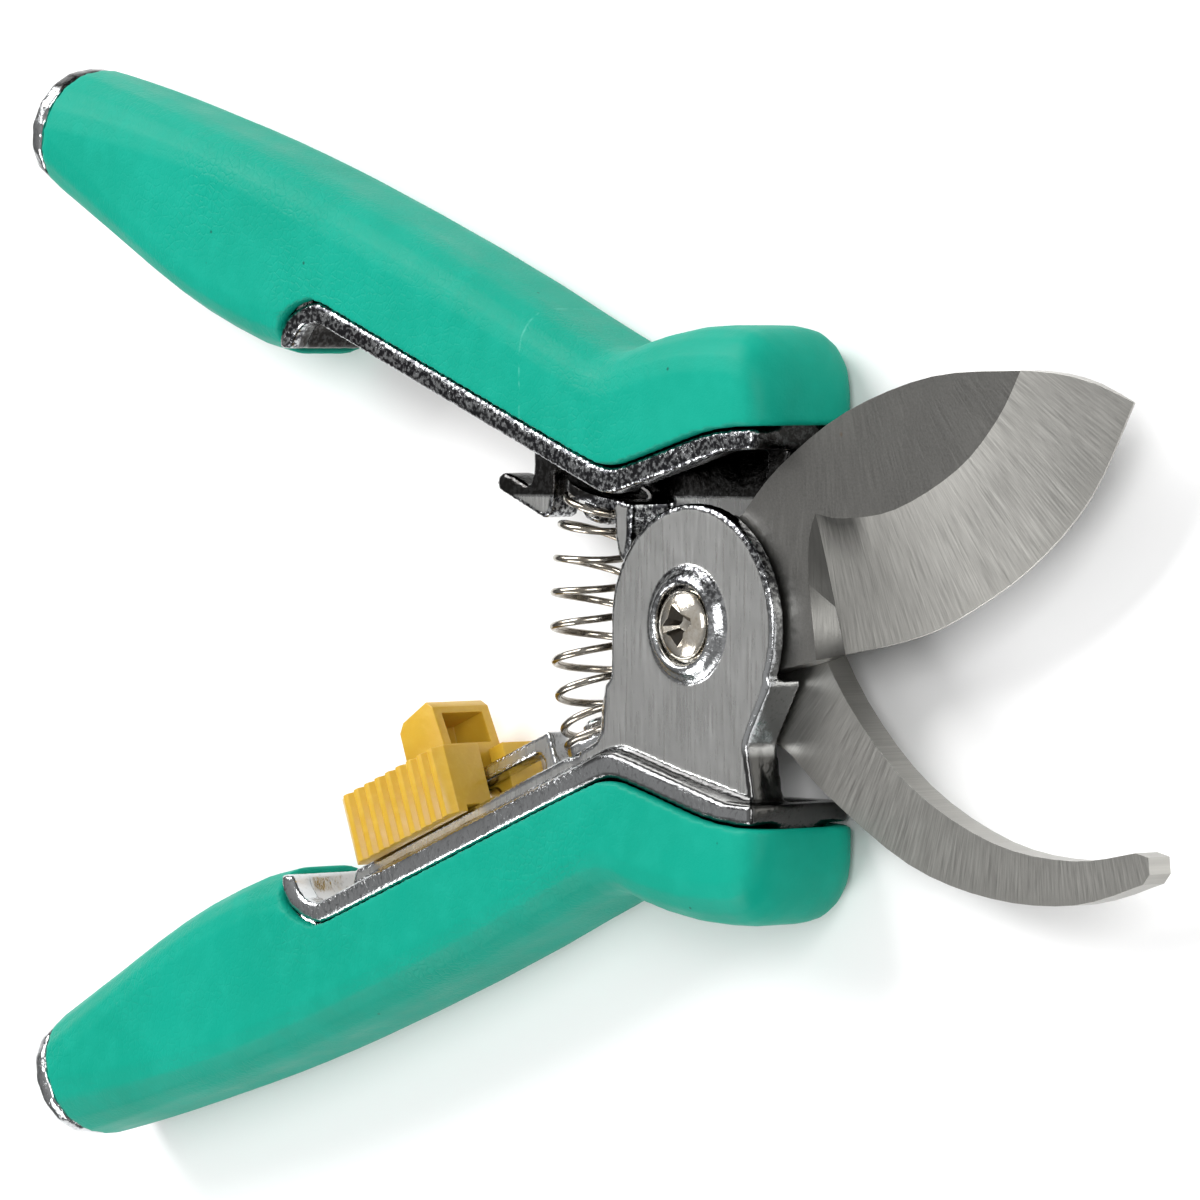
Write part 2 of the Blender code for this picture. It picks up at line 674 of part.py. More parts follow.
def pivot_rings():
    """Sleeve, washers and nut that hold the blades together on the screw."""
    inner = SCREW_R + BORE_CLEAR
    sleeve = tube("pivot_sleeve", SLEEVE_R, inner, -BLADE_TOP_Z - 0.1, BLADE_TOP_Z)
    front = tube("screw_washer", SCREW_HEAD_R, inner, COUNTERBORE_Z + 0.15, COUNTERBORE_Z + 0.65)
    back = tube("nut_washer", NUT_WASHER_R, inner, -HUB_FACE_Z - 0.65, -HUB_FACE_Z - 0.15)
    middle = tube("friction_washer", FRICTION_R, SLEEVE_R + BORE_CLEAR, -FRICTION_HALF, FRICTION_HALF)
    for ring in (sleeve, front, back):
        paint_nickel(shade_round(ring))
    paint(shade_round(middle), (0.60, 0.42, 0.20), 1.0, 0.35)
    nut_low = -HUB_FACE_Z - 2.3
    profile = [(NUT_R - 0.4, nut_low), (NUT_R, nut_low + 0.35), (NUT_R, -HUB_FACE_Z - 0.8)]
    nut = turned("pivot_nut", profile, steps=6)
    cut(nut, turned("nut_bore", [(inner, -12.0), (inner, 0.0)]))
    paint_nickel(nut)
    return [sleeve, front, middle, back, nut]


def key_pin(name, flip):
    """Short pin that stops a blade turning on its casting."""
    z_low = -4.4
    pin = turned(name, [(PIN_R, z_low), (PIN_R, -SHEAR_Z - 0.2)], KEY_PLACE, 16, flip)
    return paint_nickel(shade_round(pin))


# ------------------------------------------------------------------ spring

def spring_seat(name, flip):
    """Flanged stud that centres one end of the return spring."""
    profile = [(SEAT_R, -SEAT_THICK), (SEAT_R, 0.0), (SPIGOT_R, 0.01), (SPIGOT_R, SPIGOT_LENGTH - 0.5),
               (SPIGOT_R - 0.5, SPIGOT_LENGTH)]
    return paint_chrome(shade_round(seat_solid(name, profile, flip)))


def return_spring():
    """Coil wound about an axis that bows away from the pivot."""
    radius, tilt = seat_axis()
    centre_x = SPRING_MID_X + radius
    clear = WIRE_R + GAP
    sweep = tilt - clear / radius
    steps = int(COIL_TURNS * COIL_STEPS)
    sides = 6
    centres = []
    for i in range(steps + 1):
        share = i / steps
        along = -sweep + 2 * sweep * share
        angle = 2 * math.pi * COIL_TURNS * share
        radial = Vector((-math.cos(along), math.sin(along), 0.0))
        base = Vector((centre_x, 0.0, 0.0)) + radial * radius
        centres.append(base + radial * COIL_R * math.cos(angle) + Vector((0, 0, 1)) * COIL_R * math.sin(angle))
    rings = []
    for i, point in enumerate(centres):
        ahead = (centres[min(i + 1, steps)] - centres[max(i - 1, 0)]).normalized()
        share = i / steps
        along = -sweep + 2 * sweep * share
        up = Vector((math.sin(along), math.cos(along), 0.0))
        side = ahead.cross(up).normalized()
        up = side.cross(ahead).normalized()
        ring = []
        for k in range(sides):
            angle = 2 * math.pi * k / sides
            ring.append(tuple(point + side * WIRE_R * math.cos(angle) + up * WIRE_R * math.sin(angle)))
        rings.append(ring)
    spring = loft("return_spring", rings)
    return paint_nickel(shade_round(spring, 70.0))


# ------------------------------------------------------------------ sliding lock

def rail_solid(name, outline, n_low, n_high):
    """Extrude an (s, z) outline across the rail, from n_low to n_high."""
    rings = []
    for n in (n_low, n_high):
        rings.append([rail_point(s, n, z) for s, z in outline])
    return loft(name, rings)


def ribbed_outline(z_inner, side):
    """Cheek section with thumb ribs on its outer face."""
    s_low, s_high = CHEEK_S
    points = [(s_high, z_inner * side), (s_high, (CHEEK_Z - 0.9) * side)]
    pitch = (s_high - s_low - 1.4) / RIB_COUNT
    for i in range(RIB_COUNT):
        right = s_high - 0.7 - i * pitch
        points.append((right, (CHEEK_Z - RIB_DEPTH) * side))
        points.append((right - pitch * 0.25, CHEEK_Z * side))
        points.append((right - pitch * 0.65, CHEEK_Z * side))
    points.append((s_low + 0.7, (CHEEK_Z - RIB_DEPTH) * side))
    points += [(s_low, (CHEEK_Z - 0.9) * side), (s_low, z_inner * side)]
    return points


def lip_cutter(name, side):
    """Clears the hub strip below the cheek and leaves its outer lip."""
    outline = [(CHEEK_S[0] - 2, 1.0 * side), (CHEEK_S[1] + 2, 1.0 * side),
               (CHEEK_S[1] + 2, 5.6 * side), (CHEEK_S[0] - 2, 5.6 * side)]
    return rail_solid(name, outline, -9.0, CHEEK_N[0])


def pin_hole(name, s):
    centre = rail_point(s, SLOT_N, 0)
    return turned(name, [(PIN_R + BORE_CLEAR, -6.2), (PIN_R + BORE_CLEAR, 6.2)], centre[:2], 16)


def lock_front():
    """Front cheek with the tower whose window takes the catch."""
    inner = RAIL_HALF + GAP
    cheek = rail_solid("lock_slider_front", ribbed_outline(inner, 1), CHEEK_N[0] - 0.8, CHEEK_N[1])
    cut(cheek, lip_cutter("lock_front_lip", 1))
    low = RAIL_TOP_N + GAP
    tower = [(TOWER_S[1], low), (TOWER_S[1] + 0.6, CHEEK_N[1]), (TOWER_S[1], TOWER_TOP_N - 0.9),
             (TOWER_S[1] - 0.9, TOWER_TOP_N), (TOWER_S[0] + 1.0, TOWER_TOP_N - 0.9),
             (TOWER_S[0], TOWER_TOP_N - 1.9), (TOWER_S[0], low)]
    join(cheek, prism("lock_tower", [rail_point(s, n, 0)[:2] for s, n in tower], -TOWER_HALF, TOWER_HALF))
    window = [(TOWER_S[0] + 1.2, WINDOW_N[0]), (TOWER_S[1] + 2.0, WINDOW_N[0]),
              (TOWER_S[1] + 2.0, WINDOW_N[1]), (TOWER_S[0] + 1.2, WINDOW_N[1])]
    cut(cheek, prism("lock_window", [rail_point(s, n, 0)[:2] for s, n in window], -WINDOW_HALF, WINDOW_HALF))
    for index, s in enumerate(PIN_S):
        cut(cheek, pin_hole("lock_front_hole_%d" % index, s))
    return paint_lock_plastic(cheek)


def lock_back():
    """Rear cheek, stepped to pass under the tower."""
    inner = RAIL_HALF + GAP
    cheek = rail_solid("lock_slider_back", ribbed_outline(inner, -1), CHEEK_N[0] - 0.8, CHEEK_N[1])
    cut(cheek, lip_cutter("lock_back_lip", -1))
    step = [(TOWER_S[0] - GAP, 0.0), (TOWER_S[1] + 1.0, 0.0), (TOWER_S[1] + 1.0, -TOWER_HALF - GAP),
            (TOWER_S[0] - GAP, -TOWER_HALF - GAP)]
    cut(cheek, rail_solid("lock_back_step", step, RAIL_TOP_N, 4.0))
    for index, s in enumerate(PIN_S):
        cut(cheek, pin_hole("lock_back_hole_%d" % index, s))
    return paint_lock_plastic(cheek)


def lock_pin(name, s):
    centre = rail_point(s, SLOT_N, 0)
    pin = turned(name, [(PIN_R, -LOCK_PIN_HALF), (PIN_R, LOCK_PIN_HALF)], centre[:2], 16)
    return paint_nickel(shade_round(pin))


# ------------------------------------------------------------------ assembly

def pivot_offset(items):
    """Shift that puts the middle of the footprint and the lowest point at the origin."""
    bpy.context.view_layer.update()
    graph = bpy.context.evaluated_depsgraph_get()
    low = Vector((1e9, 1e9, 1e9))
    high = -low
    for item in items:
        shape = item.evaluated_get(graph)
        for corner in shape.bound_box:
            point = shape.matrix_world @ Vector(corner)
            low = Vector(map(min, low, point))
            high = Vector(map(max, high, point))
    return Vector((-(low.x + high.x) / 2, -(low.y + high.y) / 2, -low.z))


def carrier(name, items, offset):
    """Empty on the pivot axis that carries one body."""
    holder = bpy.data.objects.new(name, None)
    bpy.context.scene.collection.objects.link(holder)
    for item in items:
        item.parent = holder
    holder.location = offset
    return holder


def build():
    clear_scene()
    lower = [lower_casting(), handle_grip("lower_grip", True), cutting_blade(), pivot_screw()]
    lower += pivot_rings()
    lower += [key_pin("blade_key_pin", True), spring_seat("lower_spring_seat", True), return_spring()]
    lock = [lock_front(), lock_back()]
    lock += [lock_pin("lock_pin_rear", PIN_S[0]), lock_pin("lock_pin_front", PIN_S[1])]
    upper = [upper_casting(), handle_grip("upper_grip", False), counter_blade()]
    upper += [key_pin("counter_blade_key_pin", False), spring_seat("upper_spring_seat", False)]
    offset = pivot_offset(lower + lock + upper)
    cutters = [item for item in bpy.data.objects if item.type == "MESH" and item.hide_render]
    carrier("lower_body", lower, offset)
    carrier("lock_body", lock, offset)
    carrier("upper_body", upper, offset)
    carrier("cutter_tools", cutters, offset)


build()
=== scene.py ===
import json
import math

import bpy
from mathutils import Euler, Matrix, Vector


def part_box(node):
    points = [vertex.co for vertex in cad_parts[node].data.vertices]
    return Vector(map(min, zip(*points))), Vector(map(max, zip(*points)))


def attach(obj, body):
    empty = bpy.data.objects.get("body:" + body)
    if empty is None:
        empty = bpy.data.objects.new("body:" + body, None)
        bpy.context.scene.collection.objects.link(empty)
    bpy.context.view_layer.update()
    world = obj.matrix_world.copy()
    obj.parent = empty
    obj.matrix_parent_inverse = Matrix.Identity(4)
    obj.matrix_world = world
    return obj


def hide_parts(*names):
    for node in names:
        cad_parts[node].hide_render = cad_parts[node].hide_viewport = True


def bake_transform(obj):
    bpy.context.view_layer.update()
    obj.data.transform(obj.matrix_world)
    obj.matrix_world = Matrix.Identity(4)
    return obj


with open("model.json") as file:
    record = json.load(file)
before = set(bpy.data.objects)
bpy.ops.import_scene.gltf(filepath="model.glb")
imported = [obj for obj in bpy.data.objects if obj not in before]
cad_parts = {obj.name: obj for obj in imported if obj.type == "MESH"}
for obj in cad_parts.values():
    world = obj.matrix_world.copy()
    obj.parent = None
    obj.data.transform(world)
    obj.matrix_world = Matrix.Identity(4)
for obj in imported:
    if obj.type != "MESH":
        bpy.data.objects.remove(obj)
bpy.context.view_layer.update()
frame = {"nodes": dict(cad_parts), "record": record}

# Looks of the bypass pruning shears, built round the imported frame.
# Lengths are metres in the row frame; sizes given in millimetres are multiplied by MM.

MM = 0.001
PIVOT = Vector(frame["record"]["behaviour"]["joints"][0]["pos_m"])

# ---- camera ----
CAMERA_OFFSET = Vector((677.9, 29.0, 600.7)) * MM    # from the pivot
CAMERA_TURN = (-1.802, 49.314, -0.182)               # degrees about X, Y, Z
CAMERA_LENS = 243.8
SENSOR = 36.0

# ---- return spring ----
SPRING_MID_X = -22.3 * MM       # where the coil's bowed axis comes nearest the tails, from the pivot
SPRING_END_X = -19.8 * MM
SPRING_END_Y = 14.0 * MM
COIL_R = 4.4 * MM
WIRE_R = 0.43 * MM
COIL_TURNS = 8.7
COIL_STEPS = 40                 # points in one turn
WIRE_SIDES = 12
CLOSED_TURNS = 0.8              # turns at each end that lie almost flat
CLOSED_SHARE = 0.028            # share of the axis that they take up

# ---- finishes, millimetres from the pivot and from the middle plane ----
RIM_START_Z = 6.2               # above this the chrome is left as cast
HUB_TOP_Y = 13.8
CAP_START_X = -116.0            # the tail caps lie beyond this
MOULD_MARK_X = -25.6            # pale moulding mark across the upper grip
GRIP_DEEP = (0.001, 0.275, 0.190)
GRIP_MID = (0.002, 0.300, 0.212)
GRIP_PALE = (0.006, 0.345, 0.250)
PLATING = (0.56, 0.57, 0.58)
PLATING_DULL = (0.20, 0.20, 0.21)
# pits on the upper rim, partly real pitting and partly painted dark reflection
PLATING_PIT_AND_DARK_REFLECTION = (0.045, 0.045, 0.05)
STEEL_DEEP = (0.185, 0.182, 0.172)
STEEL_MID = (0.235, 0.230, 0.218)
STEEL_PALE = (0.26, 0.255, 0.24)

# ---- softened shapes, millimetres ----
CASTING_SKIN = 0.35             # size of the mesh that rounds the castings
GRIP_SKIN = 0.40
SKIN_PASSES = 4
WELD_REACH = 0.002
SEAT_ROUND = 0.15
BLADE_ROUND = 0.08
LOCK_ROUND = 0.22
FASTENER_ROUND = 0.12
WASHER_ROUND = 0.05

# ---- pivot screw, millimetres ----
SCREW_SHANK_R = 2.4
SCREW_DOME = 1.75               # height of the head
SCREW_RIM = 0.45                # height of the head's upright edge
SCREW_SIDES = 72
DOME_STEPS = 12
SHANK_CHAMFER = 0.3
RECESS_HALF = 2.9               # reach of each arm of the cross
RECESS_WIDTH = 1.35
RECESS_DEPTH = 1.6
RECESS_TAPER = 0.35             # size of the recess's floor against its mouth
RECESS_TURN = 12.0              # degrees
RECESS_ARM = 0.32               # half an arm's width, against RECESS_WIDTH
RECESS_CORNER = 0.9             # corner between two arms, against RECESS_WIDTH

# ---- blades, millimetres from the pivot: the grinding marks fan out from the two centres ----
BEVEL_CENTRE = (18.2, 51.7)
HOOK_CENTRE = (49.2, 26.1)
GRIND_RADIUS = 54.8
HOOK_SHADE = 0.78               # the hook is ground less finely than the bevel
HEEL_END_X = 24.5               # the bevel's heel facets carry painted shade up to here
HEEL_LINE_X = 19.35             # middle line of the heel where it crosses the pivot's level
HEEL_LEAN = 0.13                # how far that line moves toward the hub per millimetre of rise
HEEL_BAND = 0.55                # half the width of the band round it
HEEL_TOP_Y = 10.0
HEEL_FOOT_Y = -3.4
HEEL_LOW_Z = 0.3
BLADE_SMOOTH = 4.0              # degrees: keeps the grind line crisp

# ---- stage, metres and watts ----
FLOOR_REACH = 6.0
FLOOR_Z = -0.2 * MM             # just under the tool
BACKDROP_LEVEL = 0.95
LAMPS = (("key", (-0.75, 0.95, 0.95), (1.1, 0.8), 26.0),
         ("fill", (-0.55, -1.05, 0.85), (0.8, 0.7), 12.0),
         ("front", (1.10, 0.35, 1.10), (0.8, 0.8), 14.0))


# ------------------------------------------------------------------ node helpers

def new_material(name):
    """Returns the material, its node tree and its shader."""
    material = bpy.data.materials.new(name)
    material.use_nodes = True
    tree = material.node_tree
    return material, tree, tree.nodes["Principled BSDF"]


def coordinates(tree, stretch=(1.0, 1.0, 1.0), turn_deg=0.0, centre=(0.0, 0.0)):
    """Object coordinates in millimetres from a centre, turned about Z and stretched."""
    source = tree.nodes.new("ShaderNodeTexCoord")
    shift = tree.nodes.new("ShaderNodeVectorMath")
    shift.operation = "SUBTRACT"
    shift.inputs[1].default_value = PIVOT + Vector((centre[0], centre[1], 0.0)) * MM
    tree.links.new(source.outputs["Object"], shift.inputs[0])
    mapping = tree.nodes.new("ShaderNodeMapping")
    mapping.inputs["Rotation"].default_value = (0.0, 0.0, math.radians(turn_deg))
    mapping.inputs["Scale"].default_value = [s / MM for s in stretch]
    tree.links.new(shift.outputs[0], mapping.inputs["Vector"])
    return mapping.outputs["Vector"]


def fan_coordinates(tree, centre, across=0.04):
    """Coordinates whose X runs round a centre and whose Y runs away from it."""
    parts = tree.nodes.new("ShaderNodeSeparateXYZ")
    tree.links.new(coordinates(tree, centre=centre), parts.inputs[0])
    angle = math_node(tree, "ARCTAN2", parts.outputs["Y"], parts.outputs["X"])
    length = tree.nodes.new("ShaderNodeVectorMath")
    length.operation = "LENGTH"
    tree.links.new(coordinates(tree, centre=centre), length.inputs[0])
    joined = tree.nodes.new("ShaderNodeCombineXYZ")
    tree.links.new(math_node(tree, "MULTIPLY", angle, GRIND_RADIUS), joined.inputs["X"])
    tree.links.new(math_node(tree, "MULTIPLY", length.outputs["Value"], across), joined.inputs["Y"])
    return joined.outputs[0]


def math_node(tree, operation, first, second=0.0):
    node = tree.nodes.new("ShaderNodeMath")
    node.operation = operation
    for socket, value in zip(node.inputs, (first, second)):
        if isinstance(value, (int, float)):
            socket.default_value = value
        else:
            tree.links.new(value, socket)
    return node.outputs[0]


def noise(tree, vector, size, detail=3.0, roughness=0.5, distortion=0.0):
    """Soft random pattern whose blobs are about size millimetres."""
    node = tree.nodes.new("ShaderNodeTexNoise")
    node.inputs["Scale"].default_value = 1.0 / size
    node.inputs["Detail"].default_value = detail
    node.inputs["Roughness"].default_value = roughness
    node.inputs["Distortion"].default_value = distortion
    tree.links.new(vector, node.inputs["Vector"])
    return node.outputs["Fac"]


def cells(tree, vector, size, feature="F1"):
    """Distance from the cell centres, or from the cell borders, of a random mosaic."""
    node = tree.nodes.new("ShaderNodeTexVoronoi")
    node.feature = feature
    node.inputs["Scale"].default_value = 1.0 / size
    tree.links.new(vector, node.inputs["Vector"])
    return node.outputs["Distance"]


def spread(tree, value, low, high, out_low=0.0, out_high=1.0):
    """Maps the range low..high onto out_low..out_high, clamped."""
    node = tree.nodes.new("ShaderNodeMapRange")
    node.inputs["From Min"].default_value = low
    node.inputs["From Max"].default_value = high
    node.inputs["To Min"].default_value = out_low
    node.inputs["To Max"].default_value = out_high
    tree.links.new(value, node.inputs["Value"])
    return node.outputs["Result"]


def blend_colour(tree, factor, first, second):
    node = tree.nodes.new("ShaderNodeMix")
    node.data_type = "RGBA"
    tree.links.new(factor, node.inputs["Factor"])
    for socket, value in ((node.inputs["A"], first), (node.inputs["B"], second)):
        if isinstance(value, tuple):
            socket.default_value = (*value, 1.0)
        else:
            tree.links.new(value, socket)
    return node.outputs["Result"]


def scaled(tree, colour, amount):
    """A colour made lighter or darker all over."""
    node = tree.nodes.new("ShaderNodeVectorMath")
    node.operation = "SCALE"
    node.inputs["Scale"].default_value = amount
    tree.links.new(colour, node.inputs[0])
    return node.outputs[0]


def bump(tree, height, depth_mm, normal=None):
    node = tree.nodes.new("ShaderNodeBump")
    node.inputs["Distance"].default_value = depth_mm * MM
    node.inputs["Strength"].default_value = 1.0
    tree.links.new(height, node.inputs["Height"])
    if normal is not None:
        tree.links.new(normal, node.inputs["Normal"])
    return node.outputs["Normal"]


def facing_z(tree):
    """How squarely the surface faces up or down, in the object's own axes."""
    source = tree.nodes.new("ShaderNodeTexCoord")
    parts = tree.nodes.new("ShaderNodeSeparateXYZ")
    tree.links.new(source.outputs["Normal"], parts.inputs[0])
    return math_node(tree, "ABSOLUTE", parts.outputs["Z"])


def places(tree):
    """X, Y and Z from the pivot, in millimetres, as three separate values."""
    parts = tree.nodes.new("ShaderNodeSeparateXYZ")
    tree.links.new(coordinates(tree), parts.inputs[0])
    return parts.outputs["X"], parts.outputs["Y"], parts.outputs["Z"]


def product(tree, *values):
    """Multiplies any number of values together."""
    total = values[0]
    for value in values[1:]:
        total = math_node(tree, "MULTIPLY", total, value)
    return total


# ------------------------------------------------------------------ materials

def grip_vinyl():
    """Mint vinyl with a leathery grain, paler where it is rubbed."""
    material, tree, shader = new_material("grip_vinyl_look")
    plain = coordinates(tree)
    cloud = noise(tree, plain, 22.0, 3.0)
    mottle = noise(tree, plain, 3.0, 4.0)
    base = blend_colour(tree, spread(tree, cloud, 0.35, 0.65), GRIP_DEEP, GRIP_MID)
    tinted = blend_colour(tree, spread(tree, mottle, 0.45, 0.75, 0.0, 0.35), base, GRIP_PALE)
    specks = spread(tree, cells(tree, plain, 7.0), 0.035, 0.02)
    speckled = blend_colour(tree, specks, tinted, (0.004, 0.11, 0.08))
    x, y, _ = places(tree)
    from_mark = math_node(tree, "ABSOLUTE", math_node(tree, "SUBTRACT", x, MOULD_MARK_X))
    broken = spread(tree, noise(tree, plain, 1.8, 3.0), 0.40, 0.60, 0.0, 0.55)
    mark = product(tree, spread(tree, from_mark, 0.18, 0.06), spread(tree, y, 0.0, 1.0), broken)
    tree.links.new(blend_colour(tree, mark, speckled, (0.10, 0.46, 0.36)), shader.inputs["Base Color"])
    grain = cells(tree, plain, 0.95, "DISTANCE_TO_EDGE")
    creases = spread(tree, grain, 0.0, 0.16)
    fine = noise(tree, plain, 0.35, 4.0, 0.6)
    rough = noise(tree, plain, 6.0, 5.0, 0.6)
    tree.links.new(spread(tree, rough, 0.3, 0.7, 0.42, 0.58), shader.inputs["Roughness"])
    strength = spread(tree, noise(tree, plain, 16.0, 2.0), 0.38, 0.6, 0.25, 1.0)
    on_handle = spread(tree, x, 0.0, -14.0)
    pebbled = product(tree, creases, strength, on_handle)
    first = bump(tree, pebbled, 0.035)
    tree.links.new(bump(tree, fine, 0.03, first), shader.inputs["Normal"])
    shader.inputs["Specular IOR Level"].default_value = 0.12
    return material


def chrome():
    """Plating on a casting: satin on the hub, pitted on the upper rim with painted dark reflection, painted
    shade in the hollows.
    """
    material, tree, shader = new_material("chrome_look")
    plain = coordinates(tree)
    x, y, z = places(tree)
    height = math_node(tree, "ABSOLUTE", z)
    level_face = spread(tree, facing_z(tree), 0.985, 0.998)
    below_rims = spread(tree, height, RIM_START_Z, RIM_START_Z - 0.3)
    above_hub = spread(tree, y, HUB_TOP_Y, HUB_TOP_Y + 0.4)
    flat = product(tree, level_face, below_rims, math_node(tree, "SUBTRACT", 1.0, above_hub))
    brushed = noise(tree, coordinates(tree, (1.0, 0.05, 1.0)), 0.35, 4.0, 0.6)
    cloud = noise(tree, plain, 5.0, 4.0)
    satin = blend_colour(tree, brushed, (0.63, 0.63, 0.615), (0.68, 0.68, 0.665))
    patchy = blend_colour(tree, spread(tree, cloud, 0.35, 0.7, 0.0, 0.5), satin, (0.76, 0.76, 0.75))
    speck = noise(tree, plain, 0.55, 4.0, 0.62)
    patches = spread(tree, noise(tree, plain, 6.0, 2.0), 0.35, 0.6, 0.25, 1.0)
    # Partly real pitting, partly painted dark reflection: only the upper rim gets the dark pits, so it
    # reads darker than the lower rim.
    upper = product(tree, spread(tree, y, -4.0, 6.0), spread(tree, x, CAP_START_X, CAP_START_X + 3.0))
    pits_and_dark_reflection = product(tree, spread(tree, speck, 0.41, 0.53), upper)
    sound = blend_colour(tree, spread(tree, speck, 0.56, 0.68, 0.0, 0.5), PLATING, PLATING_DULL)
    bright = blend_colour(tree, pits_and_dark_reflection, sound, PLATING_PIT_AND_DARK_REFLECTION)
    slope = math_node(tree, "SUBTRACT", 1.0, level_face)
    # Painted shade: the base colour is darkened in the gutter beside the hub and in the channel above it,
    # where deep hollows look dark.
    along_hub = product(tree, spread(tree, x, -18.0, -15.0), spread(tree, x, 17.0, 14.0))
    beside_hub = product(tree, spread(tree, y, -13.0, -14.5), along_hub)
    gutter_painted_shade = product(tree, slope, beside_hub, spread(tree, height, 7.6, 7.1))
    channel_painted_shade = product(tree, below_rims, above_hub)
    painted_hollow_shade = math_node(tree, "MULTIPLY", math_node(tree, "MAXIMUM", gutter_painted_shade, channel_painted_shade), 0.9)
    bright = blend_colour(tree, painted_hollow_shade, bright, (0.03, 0.028, 0.026))
    tree.links.new(blend_colour(tree, flat, bright, patchy), shader.inputs["Base Color"])
    shader.inputs["Metallic"].default_value = 1.0
    smear = spread(tree, noise(tree, plain, 2.5, 5.0, 0.6), 0.3, 0.7, 0.07, 0.20)
    level = tree.nodes.new("ShaderNodeMix")
    tree.links.new(flat, level.inputs["Factor"])
    tree.links.new(smear, level.inputs["A"])
    tree.links.new(spread(tree, brushed, 0.3, 0.7, 0.24, 0.36), level.inputs["B"])
    tree.links.new(level.outputs["Result"], shader.inputs["Roughness"])
    skin = noise(tree, plain, 0.75, 4.0, 0.62)
    lumps = noise(tree, plain, 4.5, 2.0)
    as_cast = math_node(tree, "SUBTRACT", 1.0, flat)
    first = bump(tree, product(tree, as_cast, patches, skin), 0.13)
    second = bump(tree, lumps, 0.10, first)
    tree.links.new(bump(tree, brushed, 0.0015, second), shader.inputs["Normal"])
    return material


def blade_steel(name, centre, bevelled):
    """Ground steel: a dull flat and, on a bevelled blade, a brighter bevel brushed to the edge."""
    material, tree, shader = new_material(name)
    plain = coordinates(tree)
    fan = fan_coordinates(tree, centre)
    brushed = noise(tree, fan, 0.22, 5.0, 0.7)
    streaks = noise(tree, fan_coordinates(tree, centre, 0.015), 1.1, 4.0, 0.6)
    stipple = noise(tree, plain, 0.30, 4.0, 0.7)
    cloud = noise(tree, plain, 7.0, 4.0)
    dull = blend_colour(tree, spread(tree, stipple, 0.35, 0.65), STEEL_DEEP, STEEL_MID)
    dull = blend_colour(tree, spread(tree, cloud, 0.4, 0.7, 0.0, 0.5), dull, STEEL_PALE)
    bright = blend_colour(tree, spread(tree, brushed, 0.3, 0.7), (0.42, 0.41, 0.385), (0.66, 0.65, 0.61))
    bright = blend_colour(tree, spread(tree, streaks, 0.35, 0.7, 0.0, 0.55), bright, (0.52, 0.51, 0.48))
    rust = spread(tree, cells(tree, plain, 9.0), 0.045, 0.02, 0.0, 0.7)
    facing = facing_z(tree)
    if bevelled:
        x = places(tree)[0]
        # Lighter along the middle of the bevel, darker towards its two ends.
        middle = math_node(tree, "MINIMUM", spread(tree, x, 26.0, 40.0), spread(tree, x, 66.0, 50.0))
        lighter_mid_bevel = blend_colour(tree, middle, scaled(tree, bright, 0.80), scaled(tree, bright, 1.12))
        # Painted shade: the steep facets at the bevel's heel are darkened to hold down their bright
        # reflection.
        at_heel = spread(tree, x, HEEL_END_X + 2.5, HEEL_END_X)
        heel_painted_shade = product(tree, spread(tree, facing, 0.985, 0.975), at_heel)
        ground = blend_colour(tree, heel_painted_shade, lighter_mid_bevel, (0.115, 0.113, 0.106))
        colour = blend_colour(tree, spread(tree, facing, 0.9985, 0.996), dull, ground)
    else:
        colour = scaled(tree, bright, HOOK_SHADE)
    tree.links.new(blend_colour(tree, rust, colour, (0.20, 0.12, 0.07)), shader.inputs["Base Color"])
    shader.inputs["Metallic"].default_value = 1.0
    tree.links.new(spread(tree, brushed, 0.3, 0.7, 0.30, 0.46), shader.inputs["Roughness"])
    first = bump(tree, brushed, 0.008)
    tree.links.new(bump(tree, stipple, 0.006, first), shader.inputs["Normal"])
    return material


def nickel(name, clean, stained, recessed=False):
    """Warm bright plate, a little tarnished, with painted shade down a driver recess if it has one."""
    material, tree, shader = new_material(name)
    plain = coordinates(tree)
    tarnish = noise(tree, plain, 1.3, 4.0, 0.6)
    colour = blend_colour(tree, spread(tree, tarnish, 0.4, 0.7), clean, stained)
    if recessed:
        # Painted shade: the steep walls of the driver recess are darkened.
        x, y, _ = places(tree)
        x_squared = math_node(tree, "MULTIPLY", x, x)
        y_squared = math_node(tree, "MULTIPLY", y, y)
        from_axis = math_node(tree, "SQRT", math_node(tree, "ADD", x_squared, y_squared))
        walls = spread(tree, facing_z(tree), 0.80, 0.70)
        recess_painted_shade = product(tree, walls, spread(tree, from_axis, RECESS_HALF, RECESS_HALF - 0.2), 0.88)
        colour = blend_colour(tree, recess_painted_shade, colour, (0.05, 0.04, 0.03))
    tree.links.new(colour, shader.inputs["Base Color"])
    shader.inputs["Metallic"].default_value = 1.0
    tree.links.new(spread(tree, tarnish, 0.3, 0.7, 0.10, 0.26), shader.inputs["Roughness"])
    tree.links.new(bump(tree, noise(tree, plain, 0.5, 3.0), 0.02), shader.inputs["Normal"])
    return material


def bronze():
    """Plain bearing bronze, turned and oiled."""
    material, tree, shader = new_material("bronze_look")
    plain = coordinates(tree)
    stain = noise(tree, plain, 1.5, 4.0)
    colour = blend_colour(tree, spread(tree, stain, 0.35, 0.7), (0.62, 0.42, 0.20), (0.33, 0.22, 0.11))
    tree.links.new(colour, shader.inputs["Base Color"])
    shader.inputs["Metallic"].default_value = 1.0
    tree.links.new(spread(tree, stain, 0.3, 0.7, 0.28, 0.45), shader.inputs["Roughness"])
    return material


